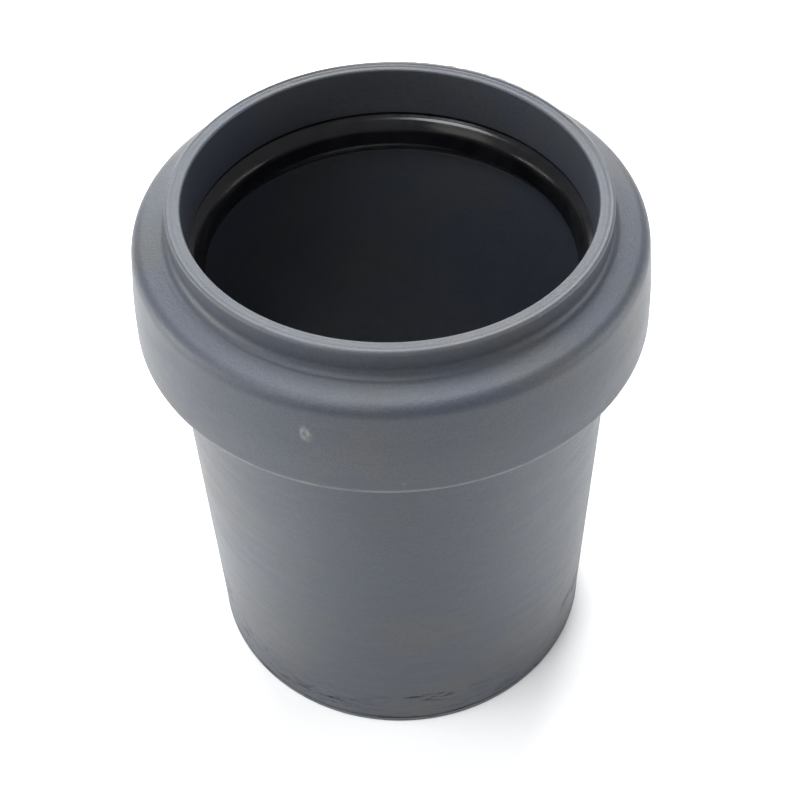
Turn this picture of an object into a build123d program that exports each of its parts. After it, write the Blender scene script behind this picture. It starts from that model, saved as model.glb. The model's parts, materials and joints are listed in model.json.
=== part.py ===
from build123d import *
import os

# Push-fit reducing coupling for plastic waste pipe.
# Below is a plain spigot that pushes into the next size of fitting. Above is a socket for the smaller
# pipe, sealed by a rubber ring that a pressed-on cap holds in its groove.
# Millimetres. +Z runs up the axis, towards the mouth of the socket.
# The origin is the centre of the spigot's end face, which the coupling stands on.

# Pipe and spigot
spigot_r = 20.5
pipe_bore_r = 17.6
outlet_r = 15.5
stop_height = 3.0
spigot_edge = 0.3
stop_edge = 0.6

# Head of the body, which the cap is pressed over. A short cone widens the spigot to it.
head_r = 20.85
spigot_top_z = 43.0
seat_z = 46.65
seat_lead_in = 0.4

# Bead on the head that the cap snaps over. It is rooted this far into the head's wall.
bead_height = 0.3
bead_width = 1.0
bead_root = 1.0
bead_z = 45.5

# Rubber ring, a round section pressed flat where it meets the plastic and the pipe
ring_centre_r = 18.8
ring_section_r = 2.15
ring_land_r = 16.75
groove_roof_z = 50.85

# Retaining cap
mouth_r = 17.85
lip_r = 19.25
lip_inner_round = 0.4
lip_outer_round = 0.3
top_z = 56.0
neck_r = 19.3
neck_foot_z = 53.55
neck_fillet = 0.8
shoulder_r = 22.55
shoulder_z = 52.9
shoulder_round = 1.3
collar_waist_r = 23.25
collar_waist_z = 47.7
collar_barrel = 34.0
collar_r = 23.5
collar_bottom_z = 43.9
collar_edge = 0.35
roof_edge = 0.2


def turned(corners):
    """Solid of revolution about Z from (radius, height, corner rounding) corners."""
    points = [(r, z) for r, z, _ in corners]
    roundings = [rounding for _, _, rounding in corners]
    outline = Plane.XZ * FilletPolyline(*points, radius=roundings, close=True)
    return revolve(make_face(outline), Axis.Z)


def snap_bead(root_r):
    """Low bead of triangular section that stands out from root_r."""
    return turned([
        (root_r - bead_root, bead_z - bead_width / 2, 0),
        (root_r, bead_z - bead_width / 2, 0),
        (root_r + bead_height, bead_z, 0),
        (root_r, bead_z + bead_width / 2, 0),
        (root_r - bead_root, bead_z + bead_width / 2, 0),
    ])


def make_body():
    """Spigot, pipe socket with its stop, and the head that carries the seal and the cap."""
    tube = turned([
        (outlet_r, 0, stop_edge),
        (spigot_r, 0, spigot_edge),
        (spigot_r, spigot_top_z, 0),
        (head_r, spigot_top_z + head_r - spigot_r, 0),
        (head_r, seat_z, 0),
        (pipe_bore_r, seat_z, seat_lead_in),
        (pipe_bore_r, stop_height, 0),
        (outlet_r, stop_height, stop_edge),
    ])
    return tube + snap_bead(head_r)


def make_seal_ring():
    """Rubber ring: a round section cut to flats by the groove's walls and at the pipe land."""
    ring_z = (seat_z + groove_roof_z) / 2
    section = Pos(ring_centre_r, ring_z) * Circle(ring_section_r)
    groove_width = head_r - ring_land_r
    groove_centre_r = (head_r + ring_land_r) / 2
    groove = Pos(groove_centre_r, ring_z) * Rectangle(groove_width, groove_roof_z - seat_z)
    return revolve(Plane.XZ * (section & groove), Axis.Z)


def make_retaining_cap():
    """Collar, shoulder, neck and lip in one moulding, open below to take the body's head."""
    shell = turned([
        (mouth_r, groove_roof_z, roof_edge),
        (mouth_r, top_z, lip_inner_round),
        (lip_r, top_z, lip_outer_round),
        (neck_r, neck_foot_z, neck_fillet),
        (shoulder_r, shoulder_z, shoulder_round),
        (collar_waist_r, collar_waist_z, collar_barrel),
        (collar_r, collar_bottom_z, collar_edge),
        (head_r, collar_bottom_z, 0),
        (head_r, groove_roof_z, 0),
    ])
    return shell - snap_bead(head_r)


nodes = {
    "body": make_body(),
    "seal_ring": make_seal_ring(),
    "retaining_cap": make_retaining_cap(),
}

os.makedirs("parts", exist_ok=True)
for name, solid in nodes.items():
    export_step(solid, f"parts/{name}.step")
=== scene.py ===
import json
import math
import random

import bpy
from mathutils import Matrix, Vector, noise


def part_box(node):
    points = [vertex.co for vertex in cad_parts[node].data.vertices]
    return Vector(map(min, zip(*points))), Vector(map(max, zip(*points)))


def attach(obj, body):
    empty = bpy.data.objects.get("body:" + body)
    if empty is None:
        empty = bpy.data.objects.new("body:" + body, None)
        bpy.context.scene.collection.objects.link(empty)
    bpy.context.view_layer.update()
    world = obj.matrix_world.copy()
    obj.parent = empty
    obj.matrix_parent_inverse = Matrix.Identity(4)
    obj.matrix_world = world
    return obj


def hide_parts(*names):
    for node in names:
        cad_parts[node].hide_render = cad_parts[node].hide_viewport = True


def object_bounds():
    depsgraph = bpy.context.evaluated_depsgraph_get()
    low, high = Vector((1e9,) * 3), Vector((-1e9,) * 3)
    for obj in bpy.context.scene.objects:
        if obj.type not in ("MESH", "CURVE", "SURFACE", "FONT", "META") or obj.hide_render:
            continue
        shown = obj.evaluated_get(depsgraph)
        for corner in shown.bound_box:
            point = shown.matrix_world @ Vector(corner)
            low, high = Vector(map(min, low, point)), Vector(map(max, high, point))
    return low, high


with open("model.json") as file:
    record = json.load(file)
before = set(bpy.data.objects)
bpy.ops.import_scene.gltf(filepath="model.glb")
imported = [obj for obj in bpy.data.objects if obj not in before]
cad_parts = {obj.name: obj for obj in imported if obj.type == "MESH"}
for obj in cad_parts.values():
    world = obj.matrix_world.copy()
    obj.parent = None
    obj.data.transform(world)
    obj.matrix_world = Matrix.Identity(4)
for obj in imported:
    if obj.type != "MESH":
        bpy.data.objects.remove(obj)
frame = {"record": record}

# A push-fit reducing coupling: body with its spigot, rubber seal ring and retaining cap.
# Shapes are worked out in millimetres in the CAD frame and written to the meshes in metres.

MM = 0.001
CAD_LOW, CAD_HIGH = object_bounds()
MOUNTS = {mount["name"]: mount for mount in frame["record"]["mounts"]}


# ---------------------------------------------------------------- sizes from the frame, in mm

def node_box(node):
    low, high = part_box(node)
    return low / MM, high / MM


def mount_radius(name):
    return MOUNTS[name]["dims"]["r_mm"]


ring_low, ring_high = node_box("seal_ring")
cap_low, cap_high = node_box("retaining_cap")

spigot_r = mount_radius("spigot")
mouth_r = mount_radius("socket_mouth")
ring_land_r = mount_radius("socket_seal")
groove_r = ring_high.x
seat_z = ring_low.z
roof_z = ring_high.z
top_z = cap_high.z
collar_bottom_z = cap_low.z
collar_r = cap_high.x

# ---------------------------------------------------------------- sizes of the details, in mm

pipe_bore_r = spigot_r - 2.9
outlet_r = spigot_r - 5.0
outlet_round = 0.6
stop_height = 3.0
stop_round = 0.3
spigot_round = 0.2
spigot_top_z = collar_bottom_z - 0.9
cone_height, cone_round = 0.35, 0.1
seat_lead_in = 0.12

lip_r = mouth_r + 1.4
lip_inner_round = 0.25
lip_fall = 0.12
lip_outer_round = 0.3
neck_foot_z = top_z - 2.45
neck_fillet = 0.8
shoulder_r = collar_r - 0.93
shoulder_z = top_z - 3.1
shoulder_round = 1.3
waist_r = collar_r - 0.23
waist_z = collar_bottom_z + 3.8
barrel_round = 34.0
collar_edge = 0.35
roof_edge = 0.2

ring_centre_r = ring_land_r + 2.05
ring_section_r, ring_section_drop = 2.15, 2.3
ring_points = 150

# Mouldings are drawn a little small, as they wobble by up to wobble_size. hidden_gap parts pieces that
# would touch, and crown leaves room above the lip for its rings, flash and burrs.
wobble_size = 0.03
body_inset, cap_inset = 0.03, 0.02
hidden_gap = 0.02
crown = 0.05

# Steps along an outline: on the scuffed wall, round the lip, at the cap's marks, and in plain places
scuffed_step, lip_step, marks_step = 0.085, 0.07, 0.18
plain_body_step, plain_cap_step, inner_cap_step = 4.0, 0.6, 1.5
# Step along an outline's arcs, in degrees of turn
arc_step = 9

# Marks left by moulding and handling: where they are round the part, in degrees from +X, and their sizes
gate_angle, gate_z, gate_width, gate_height = -108.0, collar_bottom_z + 6.1, 0.62, 0.95
gate_rise, gate_dish = 0.14, 0.13
nub_angle, nub_z, nub_size, nub_rise = -89.0, collar_bottom_z + 1.3, 0.28, 0.03
flash_angle, flash_spread, flash_r, flash_z = 66.0, 36.0, lip_r - 0.07, top_z - 0.17
flash_width, flash_rise, flash_raggedness = 0.26, 0.08, 0.16
burrs = ((-122.8, lip_r - 0.4), (-54.1, lip_r - 0.05))
burr_width, burr_rise = 0.42, 0.045
oval_angle, oval_size = -40.0, 0.09
end_line_z, end_line_width, end_line_depth = 0.75, 0.14, 0.07
mould_line_width, mould_line_rise = 0.07, 0.03
shoulder_line_r, shoulder_line_angle, shoulder_line_spread = lip_r + 0.8, -125.0, 70.0
shoulder_line_width, shoulder_line_rise = 0.16, 0.03

# Turned rings on the lip: how far in from its outer wall, the rise (a groove is negative) and the half width
lip_ring_lines = ((0.24, 0.03, 0.14), (0.46, -0.11, 0.16), (0.70, 0.03, 0.14), (0.88, -0.04, 0.1))

# Scuffs near the spigot's end: angle and height of the middle, half spreads in degrees and mm, and count
scuffs = (
    (-156.0, 7.6, 7.0, 1.8, 12),
    (-143.0, 4.4, 7.0, 1.2, 7),
    (-120.0, 2.6, 11.0, 0.9, 14),
    (-88.0, 4.6, 14.0, 0.7, 13),
    (-27.0, 6.6, 6.0, 1.1, 18),
    (60.0, 4.0, 10.0, 2.0, 10),
    (150.0, 6.0, 10.0, 1.6, 10),
)
scuffed_height = 9.6
marked_from_z = 0.25
scratch_width = 0.11


# ---------------------------------------------------------------- turned solids

def corner_arc(before, corner, after, rounding):
    """Points of the arc that rounds one corner of an outline."""
    if rounding <= 0:
        return [corner]
    to_before = (before - corner).normalized()
    to_after = (after - corner).normalized()
    half = to_before.angle(to_after) / 2
    centre = corner + (to_before + to_after).normalized() * (rounding / math.sin(half))
    start = corner + to_before * (rounding / math.tan(half)) - centre
    end = corner + to_after * (rounding / math.tan(half)) - centre
    turn = start.angle_signed(end)
    steps = max(2, math.ceil(abs(math.degrees(turn)) / arc_step))
    spokes = [Matrix.Rotation(-turn * k / steps, 2) @ start for k in range(steps + 1)]
    return [centre + spoke for spoke in spokes]


def closed_outline(corners, step_at):
    """Closed outline through rounded corners. Its runs are cut to the step that step_at gives on the way."""
    points = [Vector(corner[:2]) for corner in corners]
    rough = []
    for i, corner in enumerate(corners):
        rough += corner_arc(points[i - 1], points[i], points[(i + 1) % len(points)], corner[2])
    fine = []
    for i, point in enumerate(rough):
        run = rough[(i + 1) % len(rough)] - point
        gone = 0.0
        while True:
            fine.append(point + run * (gone / run.length))
            step = step_at(fine[-1])
            gone += step
            if run.length - gone <= step / 2:
                break
    return fine


def outline_normals(outline):
    """Outward normal at each point of an outline that runs anticlockwise in (radius, height)."""
    normals = []
    for i in range(len(outline)):
        along = outline[(i + 1) % len(outline)] - outline[i - 1]
        normals.append(Vector((along.y, -along.x)).normalized())
    return normals


def angles_round(count, fine_spots=()):
    """Even steps round the circle, in radians. fine_spots are (angle, half width, parts), in degrees: a step
    that starts within the half width of the angle is cut into that many parts."""
    step = 360 / count
    angles = []
    for k in range(count):
        angle = k * step
        cuts = [parts for spot, width, parts in fine_spots if abs(turn_between(angle, spot)) < width]
        parts = max(cuts, default=1)
        angles += [math.radians(angle + step * part / parts) for part in range(parts)]
    return angles


def turn_between(angle, spot):
    """Signed turn from spot to angle, within half a circle, in degrees."""
    return (angle - spot + 180) % 360 - 180


def hill(distance, width):
    """Smooth hump, 1 in the middle and 0 from width outwards."""
    return max(0.0, 1 - (distance / width) ** 2) ** 2


def turned(name, outline, angles, relief, sway=None):
    """Closed mesh of revolution. relief and sway take (angle, radius, height) and give mm: relief along
    the normal, and sway straight out from the axis."""
    normals = outline_normals(outline)
    verts = []
    for angle in angles:
        cos, sin = math.cos(angle), math.sin(angle)
        for point, normal in zip(outline, normals):
            r, z = point + normal * relief(angle, point.x, point.y)
            r += sway(angle, point.x, point.y) if sway else 0.0
            verts.append((r * cos * MM, r * sin * MM, z * MM))
    n, rows = len(outline), len(angles)
    faces = []
    for i in range(rows):
        here, there = i * n, (i + 1) % rows * n
        for j in range(n):
            k = (j + 1) % n
            faces.append((here + j, there + j, there + k, here + k))
    mesh = bpy.data.meshes.new(name)
    mesh.from_pydata(verts, [], faces)
    mesh.polygons.foreach_set("use_smooth", [True] * len(faces))
    mesh.set_sharp_from_angle(angle=math.radians(40))
    mesh.update()
    piece = bpy.data.objects.new(name, mesh)
    bpy.context.scene.collection.objects.link(piece)
    return piece


def place(piece, node, material):
    """Puts a finished piece in the frame in place of its CAD node."""
    piece.data.materials.append(material)
    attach(piece, "root")
    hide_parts(node)


# ---------------------------------------------------------------- material nodes

class Nodes:
    """Short calls for wiring a node tree."""

    def __init__(self, name):
        self.material = bpy.data.materials.new(name)
        self.material.use_nodes = True
        self.tree = self.material.node_tree
        self.surface = self.tree.nodes["Principled BSDF"]

    def add(self, kind, inputs=(), **settings):
        node = self.tree.nodes.new(kind)
        for key, value in settings.items():
            setattr(node, key, value)
        for key, value in dict(inputs).items():
            self.put(node.inputs[key], value)
        return node

    def put(self, socket, value):
        if isinstance(value, bpy.types.NodeSocket):
            self.tree.links.new(value, socket)
        else:
            socket.default_value = value

    def math(self, operation, a, b=0.0):
        return self.add("ShaderNodeMath", {0: a, 1: b}, operation=operation).outputs[0]

    def place_mm(self, stretch=(1, 1, 1), shift=(0, 0, 0)):
        """Object coordinates in millimetres, each axis multiplied by stretch."""
        coords = self.add("ShaderNodeTexCoord").outputs["Object"]
        scale = [s / MM for s in stretch]
        node = self.add("ShaderNodeMapping", {"Vector": coords, "Scale": scale, "Location": shift})
        return node.outputs[0]

    def noise(self, vector, scale, detail=3.0, roughness=0.5):
        inputs = {"Vector": vector, "Scale": scale, "Detail": detail, "Roughness": roughness}
        return self.add("ShaderNodeTexNoise", inputs).outputs["Fac"]

    def ramp(self, value, low, high, to_low=0.0, to_high=1.0):
        """Smooth step of value between low and high."""
        inputs = {"Value": value, "From Min": low, "From Max": high, "To Min": to_low, "To Max": to_high}
        node = self.add("ShaderNodeMapRange", inputs, interpolation_type="SMOOTHSTEP")
        return node.outputs["Result"]

    def mix(self, fac, a, b):
        node = self.add("ShaderNodeMix", data_type="RGBA")
        self.put(node.inputs[0], fac)
        self.put(node.inputs[6], a)
        self.put(node.inputs[7], b)
        return node.outputs[2]

    def height(self):
        coords = self.add("ShaderNodeTexCoord").outputs["Object"]
        z = self.add("ShaderNodeSeparateXYZ", {0: coords}).outputs["Z"]
        return self.math("DIVIDE", z, MM)

    def radius(self):
        coords = self.add("ShaderNodeTexCoord").outputs["Object"]
        flat = self.add("ShaderNodeVectorMath", {0: coords, 1: (1, 1, 0)}, operation="MULTIPLY").outputs[0]
        length = self.add("ShaderNodeVectorMath", {0: flat}, operation="LENGTH").outputs["Value"]
        return self.math("DIVIDE", length, MM)

    def band(self, value, low, high, soft):
        """1 between low and high, fading to 0 over soft outside them."""
        rise = self.ramp(value, low - soft, low)
        fall = self.ramp(value, high, high + soft, 1.0, 0.0)
        return self.math("MULTIPLY", rise, fall)

    def near(self, centre, stretch, inner, outer):
        """1 within inner mm of a point, fading to 0 at outer. stretch squeezes each axis first."""
        scaled = [c * s for c, s in zip(centre, stretch)]
        inputs = {0: self.place_mm(stretch), 1: scaled}
        distance = self.add("ShaderNodeVectorMath", inputs, operation="DISTANCE").outputs["Value"]
        return self.ramp(distance, inner, outer, 1.0, 0.0)

    def bump(self, layers):
        """Bump from (height value, depth in mm) layers, one on the other."""
        normal = None
        for value, depth in layers:
            inputs = {"Height": value, "Distance": depth * MM, "Strength": 1.0}
            if normal is not None:
                inputs["Normal"] = normal
            normal = self.add("ShaderNodeBump", inputs).outputs[0]
        return normal


BLUE_GREY = (0.045, 0.052, 0.071, 1)
WARM_GREY = (0.052, 0.055, 0.061, 1)
# Near-black painted shade for the insides of scratches, pits and grooves
SCRATCH_SHADE = (0.006, 0.006, 0.007, 1)
# Pale grey for rubbed wear, and for the painted highlight on the spigot's rounded end edge
PALE_WEAR_AND_HIGHLIGHT = (0.20, 0.20, 0.21, 1)
DARK_GREY = (0.024, 0.026, 0.031, 1)
# Pale stress whitening at the gate, nub and lip flash; also the painted highlight on the collar's lower edge
PALE_STRESS_AND_HIGHLIGHT = (0.27, 0.245, 0.24, 1)
RUBBER_BLACK, RUBBER_FILM = (0.004, 0.004, 0.005, 1), (0.008, 0.008, 0.009, 1)
PAPER_WHITE, PAPER_FIBRE = (0.93, 0.93, 0.93, 1), (0.95, 0.95, 0.95, 1)


def on_wall(angle_deg, r, z):
    """Point in mm on the wall at an angle, a radius and a height."""
    angle = math.radians(angle_deg)
    return (r * math.cos(angle), r * math.sin(angle), z)


def plastic_base(n):
    """Satin polypropylene: clouded blue-grey colour, flow marks in the gloss and a fine moulded grain."""
    where = n.place_mm()
    clouds = n.noise(where, 0.09, 2.0)
    mottle = n.noise(where, 0.9, 4.0, 0.6)
    specks = n.noise(where, 3.2, 2.0)
    flow = n.noise(n.place_mm((0.25, 0.25, 1.6)), 0.8, 3.0)
    grain = n.noise(where, 5.5, 4.0, 0.7)
    streaks = n.noise(n.place_mm((0.12, 0.12, 5.0)), 1.0, 4.0, 0.6)
    color = n.mix(n.ramp(clouds, 0.44, 0.66), BLUE_GREY, WARM_GREY)
    color = n.mix(n.math("MULTIPLY", n.ramp(mottle, 0.5, 0.75), 0.17), color, DARK_GREY)
    color = n.mix(n.math("MULTIPLY", n.ramp(specks, 0.70, 0.78), 0.5), color, DARK_GREY)
    color = n.mix(n.math("MULTIPLY", n.ramp(grain, 0.4, 0.62), 0.42), color, DARK_GREY)
    rough = n.ramp(flow, 0.25, 0.75, 0.40, 0.45)
    return color, rough, [(grain, 0.04), (mottle, 0.02), (streaks, 0.003)]


def finish_plastic(n, color, rough, layers):
    """Wires colour, roughness and bump layers to the surface of a plastic."""
    n.put(n.surface.inputs["Base Color"], color)
    n.put(n.surface.inputs["Roughness"], rough)
    n.surface.inputs["IOR"].default_value = 1.45
    n.put(n.surface.inputs["Normal"], n.bump(layers))
    return n.material


def body_plastic():
    """The plastic of the body, with the scores, rubs and pits that its spigot's end has picked up. Painted
    shade darkens the scores, pits and grooves, and a painted highlight lightens the rounded end edge.
    """
    n = Nodes("body_plastic")
    color, rough, layers = plastic_base(n)
    where = n.place_mm()
    z = n.height()
    ragged = n.math("MULTIPLY", n.math("SUBTRACT", n.noise(where, 0.16, 3.0), 0.5), 16.0)
    outside = n.math("MULTIPLY", n.ramp(n.radius(), spigot_r - 0.7, spigot_r - 0.5), n.ramp(z, 0.1, 0.3))
    near_end = n.math("MULTIPLY", n.ramp(n.math("ADD", z, ragged), 1.0, 7.5, 1.0, 0.0), outside)
    fine = n.noise(n.place_mm((0.32, 0.32, 6.5)), 1.0, 3.0, 0.6)
    scores = n.math("MULTIPLY", n.ramp(fine, 0.59, 0.63), near_end)
    coarse = n.noise(n.place_mm((0.5, 0.5, 2.2), (3, 1, 4)), 1.0, 3.0, 0.6)
    rubs = n.math("MULTIPLY", n.ramp(coarse, 0.55, 0.72), near_end)
    pits = n.math("MULTIPLY", n.ramp(n.noise(where, 1.7, 1.0), 0.71, 0.75), near_end)
    # The cut scratches and the end line are where the wall lies deeper than its surface; painted shade
    # darkens them.
    grooves = n.band(n.radius(), spigot_r - 0.5, spigot_r - 0.10, 0.035)
    grooves = n.math("MULTIPLY", grooves, n.ramp(z, 0.40, 0.50))
    # Painted highlight along the rounded end edge of the spigot
    end_edge_highlight = n.math("MULTIPLY", n.ramp(z, 0.45, 0.6, 1.0, 0.0), outside)
    color = n.mix(n.math("MULTIPLY", rubs, 0.25), color, PALE_WEAR_AND_HIGHLIGHT)
    color = n.mix(n.math("MULTIPLY", end_edge_highlight, 0.4), color, PALE_WEAR_AND_HIGHLIGHT)
    # Painted shade in the scores, pits and grooves
    color = n.mix(n.math("MULTIPLY", scores, 0.9), color, SCRATCH_SHADE)
    color = n.mix(n.math("MULTIPLY", pits, 0.9), color, SCRATCH_SHADE)
    color = n.mix(n.math("MULTIPLY", grooves, 0.9), color, SCRATCH_SHADE)
    rough = n.math("ADD", rough, n.math("MULTIPLY", rubs, 0.14))
    rough = n.math("ADD", rough, n.math("MULTIPLY", grooves, 0.4))
    return finish_plastic(n, color, rough, layers + [(scores, -0.08), (pits, -0.06)])


def cap_plastic():
    """The plastic of the cap, paler where it was stressed: at the gate, nub and lip. Its lower edge carries a
    patchy painted highlight.
    """
    n = Nodes("cap_plastic")
    color, rough, layers = plastic_base(n)
    gate = on_wall(gate_angle, collar_r - 0.35, gate_z)
    tall = (1, 1, gate_width / gate_height)
    torn = n.ramp(n.noise(n.place_mm(), 2.4, 3.0), 0.3, 0.65, 0.45, 1.0)
    scar = n.math("MULTIPLY", n.near(gate, tall, gate_width * 0.35, gate_width * 1.25), torn)
    core = n.near(gate, tall, 0.0, gate_width * 0.5)
    nub = n.near(on_wall(nub_angle, collar_r - 0.05, nub_z), (1, 1, 1), nub_size * 0.4, nub_size * 1.3)
    edge = n.band(n.height(), collar_bottom_z, collar_bottom_z + 0.42, 0.12)
    flash_spot = n.near(on_wall(flash_angle, lip_r, top_z), (1, 1, 1), 6.0, 16.0)
    rim = n.band(n.radius(), lip_r - 0.34, lip_r + 0.3, 0.12)
    rim = n.math("MULTIPLY", rim, n.band(n.height(), flash_z - 0.14, top_z, 0.1))
    rim = n.math("MULTIPLY", rim, n.math("ADD", 0.07, n.math("MULTIPLY", flash_spot, 0.55)))
    # Patchy painted highlight along the collar's lower edge
    edge_highlight = n.math("MULTIPLY", edge, n.ramp(n.noise(n.place_mm(), 0.5, 3.0), 0.25, 0.65, 0.25, 0.75))
    color = n.mix(n.math("MULTIPLY", edge_highlight, 0.42), color, PALE_STRESS_AND_HIGHLIGHT)
    color = n.mix(rim, color, PALE_STRESS_AND_HIGHLIGHT)
    color = n.mix(n.math("MULTIPLY", nub, 0.08), color, PALE_STRESS_AND_HIGHLIGHT)
    color = n.mix(n.math("MULTIPLY", scar, 0.42), color, PALE_STRESS_AND_HIGHLIGHT)
    color = n.mix(n.math("MULTIPLY", core, 0.4), color, WARM_GREY)
    return finish_plastic(n, color, rough, layers)


def seal_rubber():
    """Smooth black rubber with the faint rings of its mould and a patchy film of lubricant."""
    n = Nodes("seal_rubber")
    where = n.place_mm()
    rings = n.noise(n.place_mm((0.05, 0.05, 3.0)), 1.0, 4.0, 0.6)
    film = n.noise(where, 0.35, 3.0)
    grain = n.noise(where, 7.0, 3.0, 0.6)
    color = n.mix(n.ramp(film, 0.35, 0.7), RUBBER_BLACK, RUBBER_FILM)
    n.put(n.surface.inputs["Base Color"], color)
    n.put(n.surface.inputs["Roughness"], n.ramp(film, 0.3, 0.7, 0.15, 0.24))
    n.surface.inputs["IOR"].default_value = 1.45
    n.surface.inputs["Specular IOR Level"].default_value = 0.4
    n.put(n.surface.inputs["Normal"], n.bump([(rings, 0.012), (grain, 0.004)]))
    return n.material


def stage_paper():
    """Plain white paper with faint fibres."""
    n = Nodes("stage_paper")
    fibres = n.noise(n.place_mm(), 0.8, 4.0)
    n.put(n.surface.inputs["Base Color"], n.mix(fibres, PAPER_WHITE, PAPER_FIBRE))
    n.surface.inputs["Roughness"].default_value = 0.9
    return n.material


# ---------------------------------------------------------------- pieces

def wobble(angle, z, seed):
    """Slight out-of-round of a moulding as it cools, in mm."""
    at = Vector((math.cos(angle) * 1.3, math.sin(angle) * 1.3, z * 0.03 + seed))
    return wobble_size * noise.noise(at)


def body_outline():
    corners = [
        (outlet_r, 0, outlet_round),
        (spigot_r, 0, spigot_round),
        (spigot_r, spigot_top_z, cone_round),
        (groove_r - hidden_gap, spigot_top_z + cone_height, cone_round),
        (groove_r - hidden_gap, seat_z - hidden_gap, 0),
        (pipe_bore_r, seat_z - hidden_gap, seat_lead_in),
        (pipe_bore_r, stop_height, stop_round),
        (outlet_r, stop_height, outlet_round),
    ]
    return closed_outline(corners, body_step)


def body_step(point):
    """Short steps where the wall is scuffed, and long ones elsewhere."""
    scuffed = point.x > spigot_r - 0.1 and point.y < scuffed_height
    return scuffed_step if scuffed else plain_body_step


def draw_scratches():
    """The scuffs' scratches: angle, height, half length in degrees, lean in mm a degree, and depth."""
    rng = random.Random(11)
    scratches = []
    for angle, z, spread, rise, count in scuffs:
        for _ in range(count):
            middle = angle + rng.uniform(-spread, spread)
            height = z + rng.uniform(-rise, rise)
            half_length = rng.uniform(0.7, 3.6)
            lean = rng.uniform(-0.04, 0.05)
            depth = rng.uniform(0.05, 0.10)
            scratches.append((middle, height, half_length, lean, depth))
    return scratches


def scratch_depth(scratches, degrees, z):
    """Depth of the deepest scratch at a place on the wall. Scratches well above or below it are skipped."""
    depth = 0.0
    for middle, height, half_length, lean, deepest in scratches:
        along = turn_between(degrees, middle)
        if abs(along) < half_length and abs(z - height) < 0.5:
            taper = 1 - (along / half_length) ** 2
            depth = max(depth, deepest * taper * hill(z - height - lean * along, scratch_width))
    return depth


def make_body():
    scratches = draw_scratches()

    def relief(angle, r, z):
        if not marked_from_z < z < spigot_top_z:
            return 0.0
        lift = wobble(angle, z, 2.0) - body_inset
        if r > pipe_bore_r + 1 and z < scuffed_height:
            lift -= scratch_depth(scratches, math.degrees(angle), z)
            lift -= end_line_depth * hill(z - end_line_z, end_line_width)
        return lift

    spots = [(angle, spread + 3, 3) for angle, _, spread, _, _ in scuffs]
    piece = turned("body_moulding", body_outline(), angles_round(240, spots), relief)
    place(piece, "body", body_plastic())


def ring_outline():
    """Round section, a little deeper below, cut flat where it meets the pipe and the groove's walls."""
    centre_z = (seat_z + roof_z) / 2
    low = Vector((ring_land_r, seat_z + hidden_gap))
    high = Vector((groove_r - hidden_gap, roof_z - hidden_gap))
    outline = []
    for k in range(ring_points):
        angle = math.tau * k / ring_points
        r = ring_centre_r + ring_section_r * math.cos(angle)
        z = centre_z + (ring_section_r if angle < math.pi else ring_section_drop) * math.sin(angle)
        outline.append(Vector((min(max(r, low.x), high.x), min(max(z, low.y), high.y))))
    return outline


def mould_lines(angle, r, z):
    """Two fine lines round the top of the ring, where the parts of its mould met."""
    if r > mouth_r or z < seat_z + 2.5:
        return 0.0
    strength = 0.5 + 0.5 * hill(turn_between(math.degrees(angle), 70), 110)
    lines = sum(hill(r - line, mould_line_width) for line in (mouth_r - 0.25, mouth_r - 0.42))
    return mould_line_rise * strength * lines


def make_ring():
    piece = turned("seal_ring_rubber", ring_outline(), angles_round(480), mould_lines)
    place(piece, "seal_ring", seal_rubber())


def cap_outline():
    lip_top = top_z - crown
    corners = [
        (groove_r, collar_bottom_z, 0),
        (collar_r + 0.02, collar_bottom_z, collar_edge),
        (waist_r, waist_z, barrel_round),
        (shoulder_r, shoulder_z, shoulder_round),
        (lip_r + 0.05, neck_foot_z, neck_fillet),
        (lip_r, lip_top, lip_outer_round),
        (mouth_r, lip_top - lip_fall, lip_inner_round),
        (mouth_r, roof_z, roof_edge),
        (groove_r, roof_z, 0),
    ]
    return closed_outline(corners, cap_step)


def cap_step(point):
    """Short steps round the lip, medium ones on the neck and at the marks, and long ones elsewhere."""
    if point.y > top_z - 0.9:
        return lip_step
    if point.x < lip_r - 0.2:
        return inner_cap_step
    at_marks = abs(point.y - gate_z) < 1.6 or abs(point.y - nub_z) < 0.8
    return marks_step if at_marks or point.y > shoulder_z - 0.5 else plain_cap_step


def lip_rings(degrees, r, z):
    """Fine turned rings on the lip, plainest at the back."""
    if z < top_z - 0.3:
        return 0.0
    strength = 0.2 + 0.8 * hill(turn_between(degrees, 80), 110)
    return strength * sum(rise * hill(r - lip_r + inwards, width) for inwards, rise, width in lip_ring_lines)


def lip_flash(angle, degrees, r, z):
    """Ragged flash on the lip's outer edge, where the mould's halves met badly."""
    reach = hill(math.hypot(r - flash_r, z - flash_z), flash_width)
    if reach == 0:
        return 0.0
    ragged = noise.noise(Vector((math.cos(angle) * 26, math.sin(angle) * 26, 3.0)))
    rise = max(0.0, flash_rise + flash_raggedness * ragged)
    return reach * hill(turn_between(degrees, flash_angle), flash_spread) * rise


def lip_burrs(degrees, r, z):
    """Two small burrs on the lip."""
    if z < top_z - 0.5:
        return 0.0
    across = {spot: math.radians(turn_between(degrees, spot)) * r for spot, _ in burrs}
    return burr_rise * sum(hill(math.hypot(across[spot], r - burr_r), burr_width) for spot, burr_r in burrs)


def gate_mark(degrees, r, z):
    """Broken-off gate on the collar: a raised oval with a dished middle."""
    across = math.radians(turn_between(degrees, gate_angle)) * r / gate_width
    away = math.hypot(across, (z - gate_z) / gate_height)
    return gate_rise * hill(away, 1.0) - gate_dish * hill(away, 0.5)


def edge_nub(degrees, r, z):
    """Small nub just above the collar's lower edge."""
    across = math.radians(turn_between(degrees, nub_angle)) * r
    return nub_rise * hill(math.hypot(across, z - nub_z), nub_size)


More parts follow.
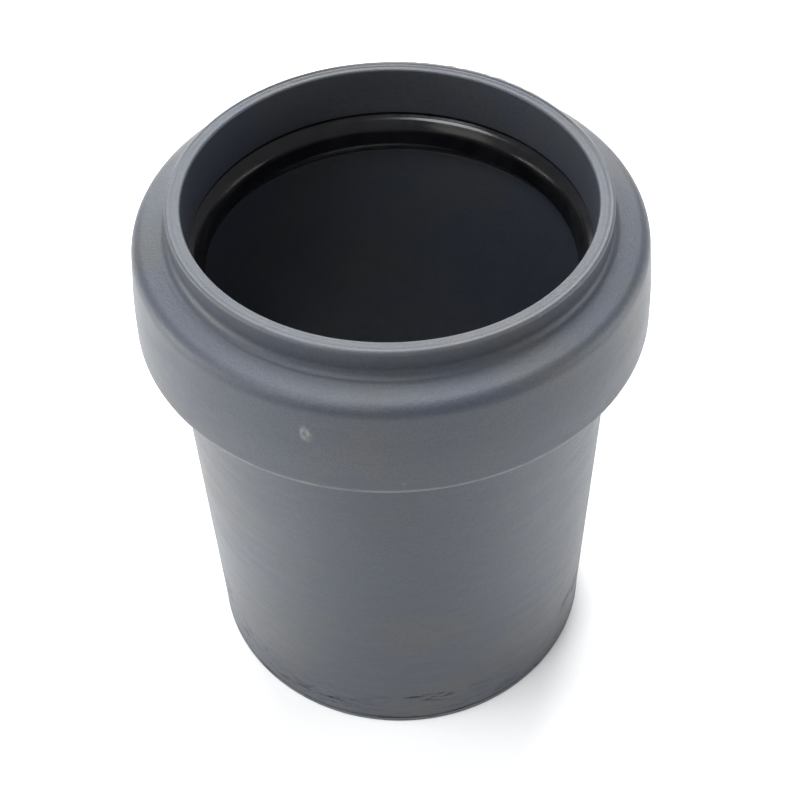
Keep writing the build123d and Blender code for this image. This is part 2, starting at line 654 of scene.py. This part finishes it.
def shoulder_line(degrees, r, z):
    """Thin raised line where the neck's fillet runs out on the shoulder."""
    if not shoulder_z - 0.5 < z < neck_foot_z + 0.4:
        return 0.0
    across = hill(r - shoulder_line_r, shoulder_line_width)
    fade = hill(turn_between(degrees, shoulder_line_angle), shoulder_line_spread)
    return shoulder_line_rise * across * fade


def cap_relief(angle, r, z):
    if r < groove_r + 0.2 and z < roof_z + 0.3:
        return 0.0
    degrees = math.degrees(angle)
    marks = lip_rings(degrees, r, z) + lip_flash(angle, degrees, r, z) + lip_burrs(degrees, r, z)
    if r > shoulder_r:
        marks += gate_mark(degrees, r, z) + edge_nub(degrees, r, z)
    return marks + shoulder_line(degrees, r, z) + wobble(angle, z, 5.0) - cap_inset


def cap_sway(angle, r, z):
    """The neck and mouth are slightly oval above the shoulder."""
    rise = min(1.0, max(0.0, (z - shoulder_z) / (top_z - shoulder_z)))
    return oval_size * rise * math.cos(2 * (angle - math.radians(oval_angle)))


def make_cap():
    spots = [(gate_angle, 2.6, 8), (nub_angle, 1.2, 8), (flash_angle, flash_spread, 3)]
    spots += [(spot, 2.0, 5) for spot, _ in burrs]
    piece = turned("retaining_cap_moulding", cap_outline(), angles_round(340, spots), cap_relief, cap_sway)
    place(piece, "retaining_cap", cap_plastic())


# ---------------------------------------------------------------- stage, light and camera

def make_floor():
    half = 1.5
    mesh = bpy.data.meshes.new("floor")
    corners = [(-half, -half, 0), (half, -half, 0), (half, half, 0), (-half, half, 0)]
    mesh.from_pydata(corners, [], [(0, 1, 2, 3)])
    floor = bpy.data.objects.new("floor", mesh)
    floor.data.materials.append(stage_paper())
    bpy.context.scene.collection.objects.link(floor)


def softbox(name, azimuth, elevation, power, color, width=0.3, height=0.3):
    """Rectangle of soft light aimed at the coupling's middle. Angles in degrees, from +X and from level."""
    distance = 0.6
    middle = (CAD_LOW + CAD_HIGH) / 2
    around, above = math.radians(azimuth), math.radians(elevation)
    level = math.cos(above)
    direction = Vector((level * math.cos(around), level * math.sin(around), math.sin(above)))
    data = bpy.data.lights.new(name, "AREA")
    data.shape = "RECTANGLE"
    data.size, data.size_y = width, height
    data.energy, data.color = power, color
    light = bpy.data.objects.new(name, data)
    light.location = middle + direction * distance
    light.rotation_mode = "QUATERNION"
    light.rotation_quaternion = (-direction).to_track_quat("-Z", "Y")
    bpy.context.scene.collection.objects.link(light)


def make_lights():
    """Pale room with a few softboxes. The strongest is high behind the coupling, and the left is brighter."""
    cool, warm, white = (0.94, 0.97, 1.0), (1.0, 0.98, 0.90), (1.0, 1.0, 1.0)
    softbox("back_high", 90, 62, 4.5, cool)
    softbox("back_low", 92, 14, 3.4, warm, width=0.6)
    softbox("left_high", 210, 68, 2.2, cool, width=0.24, height=0.24)
    softbox("left_low", 180, 8, 2.2, warm, height=0.16)
    softbox("left_front", 225, 34, 0.5, warm)
    softbox("right_low", 0, 8, 1.4, white, height=0.16)
    world = bpy.data.worlds.new("studio")
    world.use_nodes = True
    sky = world.node_tree.nodes["Background"]
    sky.inputs["Color"].default_value = (0.97, 0.98, 1.0, 1)
    sky.inputs["Strength"].default_value = 0.45
    bpy.context.scene.world = world


def make_camera():
    """Looks down at the middle of the coupling from in front, close enough for strong perspective."""
    distance, elevation, roll = 0.1321, math.radians(48.56), math.radians(-1.67)
    aim = Vector((0.0004, 0, CAD_HIGH.z * 0.5142))
    forward = Vector((0.00307, math.cos(elevation), -math.sin(elevation))).normalized()
    level = forward.cross(Vector((0, 0, 1))).normalized()
    above = level.cross(forward)
    right = math.cos(roll) * level + math.sin(roll) * above
    up = math.cos(roll) * above - math.sin(roll) * level
    data = bpy.data.cameras.new("camera")
    data.sensor_width, data.lens = 36, 58.81
    data.clip_start, data.clip_end = 0.01, 10
    camera = bpy.data.objects.new("camera", data)
    turn = Matrix((right, up, -forward)).transposed()
    camera.matrix_world = Matrix.Translation(aim - forward * distance) @ turn.to_4x4()
    bpy.context.scene.collection.objects.link(camera)
    bpy.context.scene.camera = camera


make_body()
make_ring()
make_cap()
make_floor()
make_lights()
make_camera()
bpy.context.scene.view_settings.view_transform = "Standard"
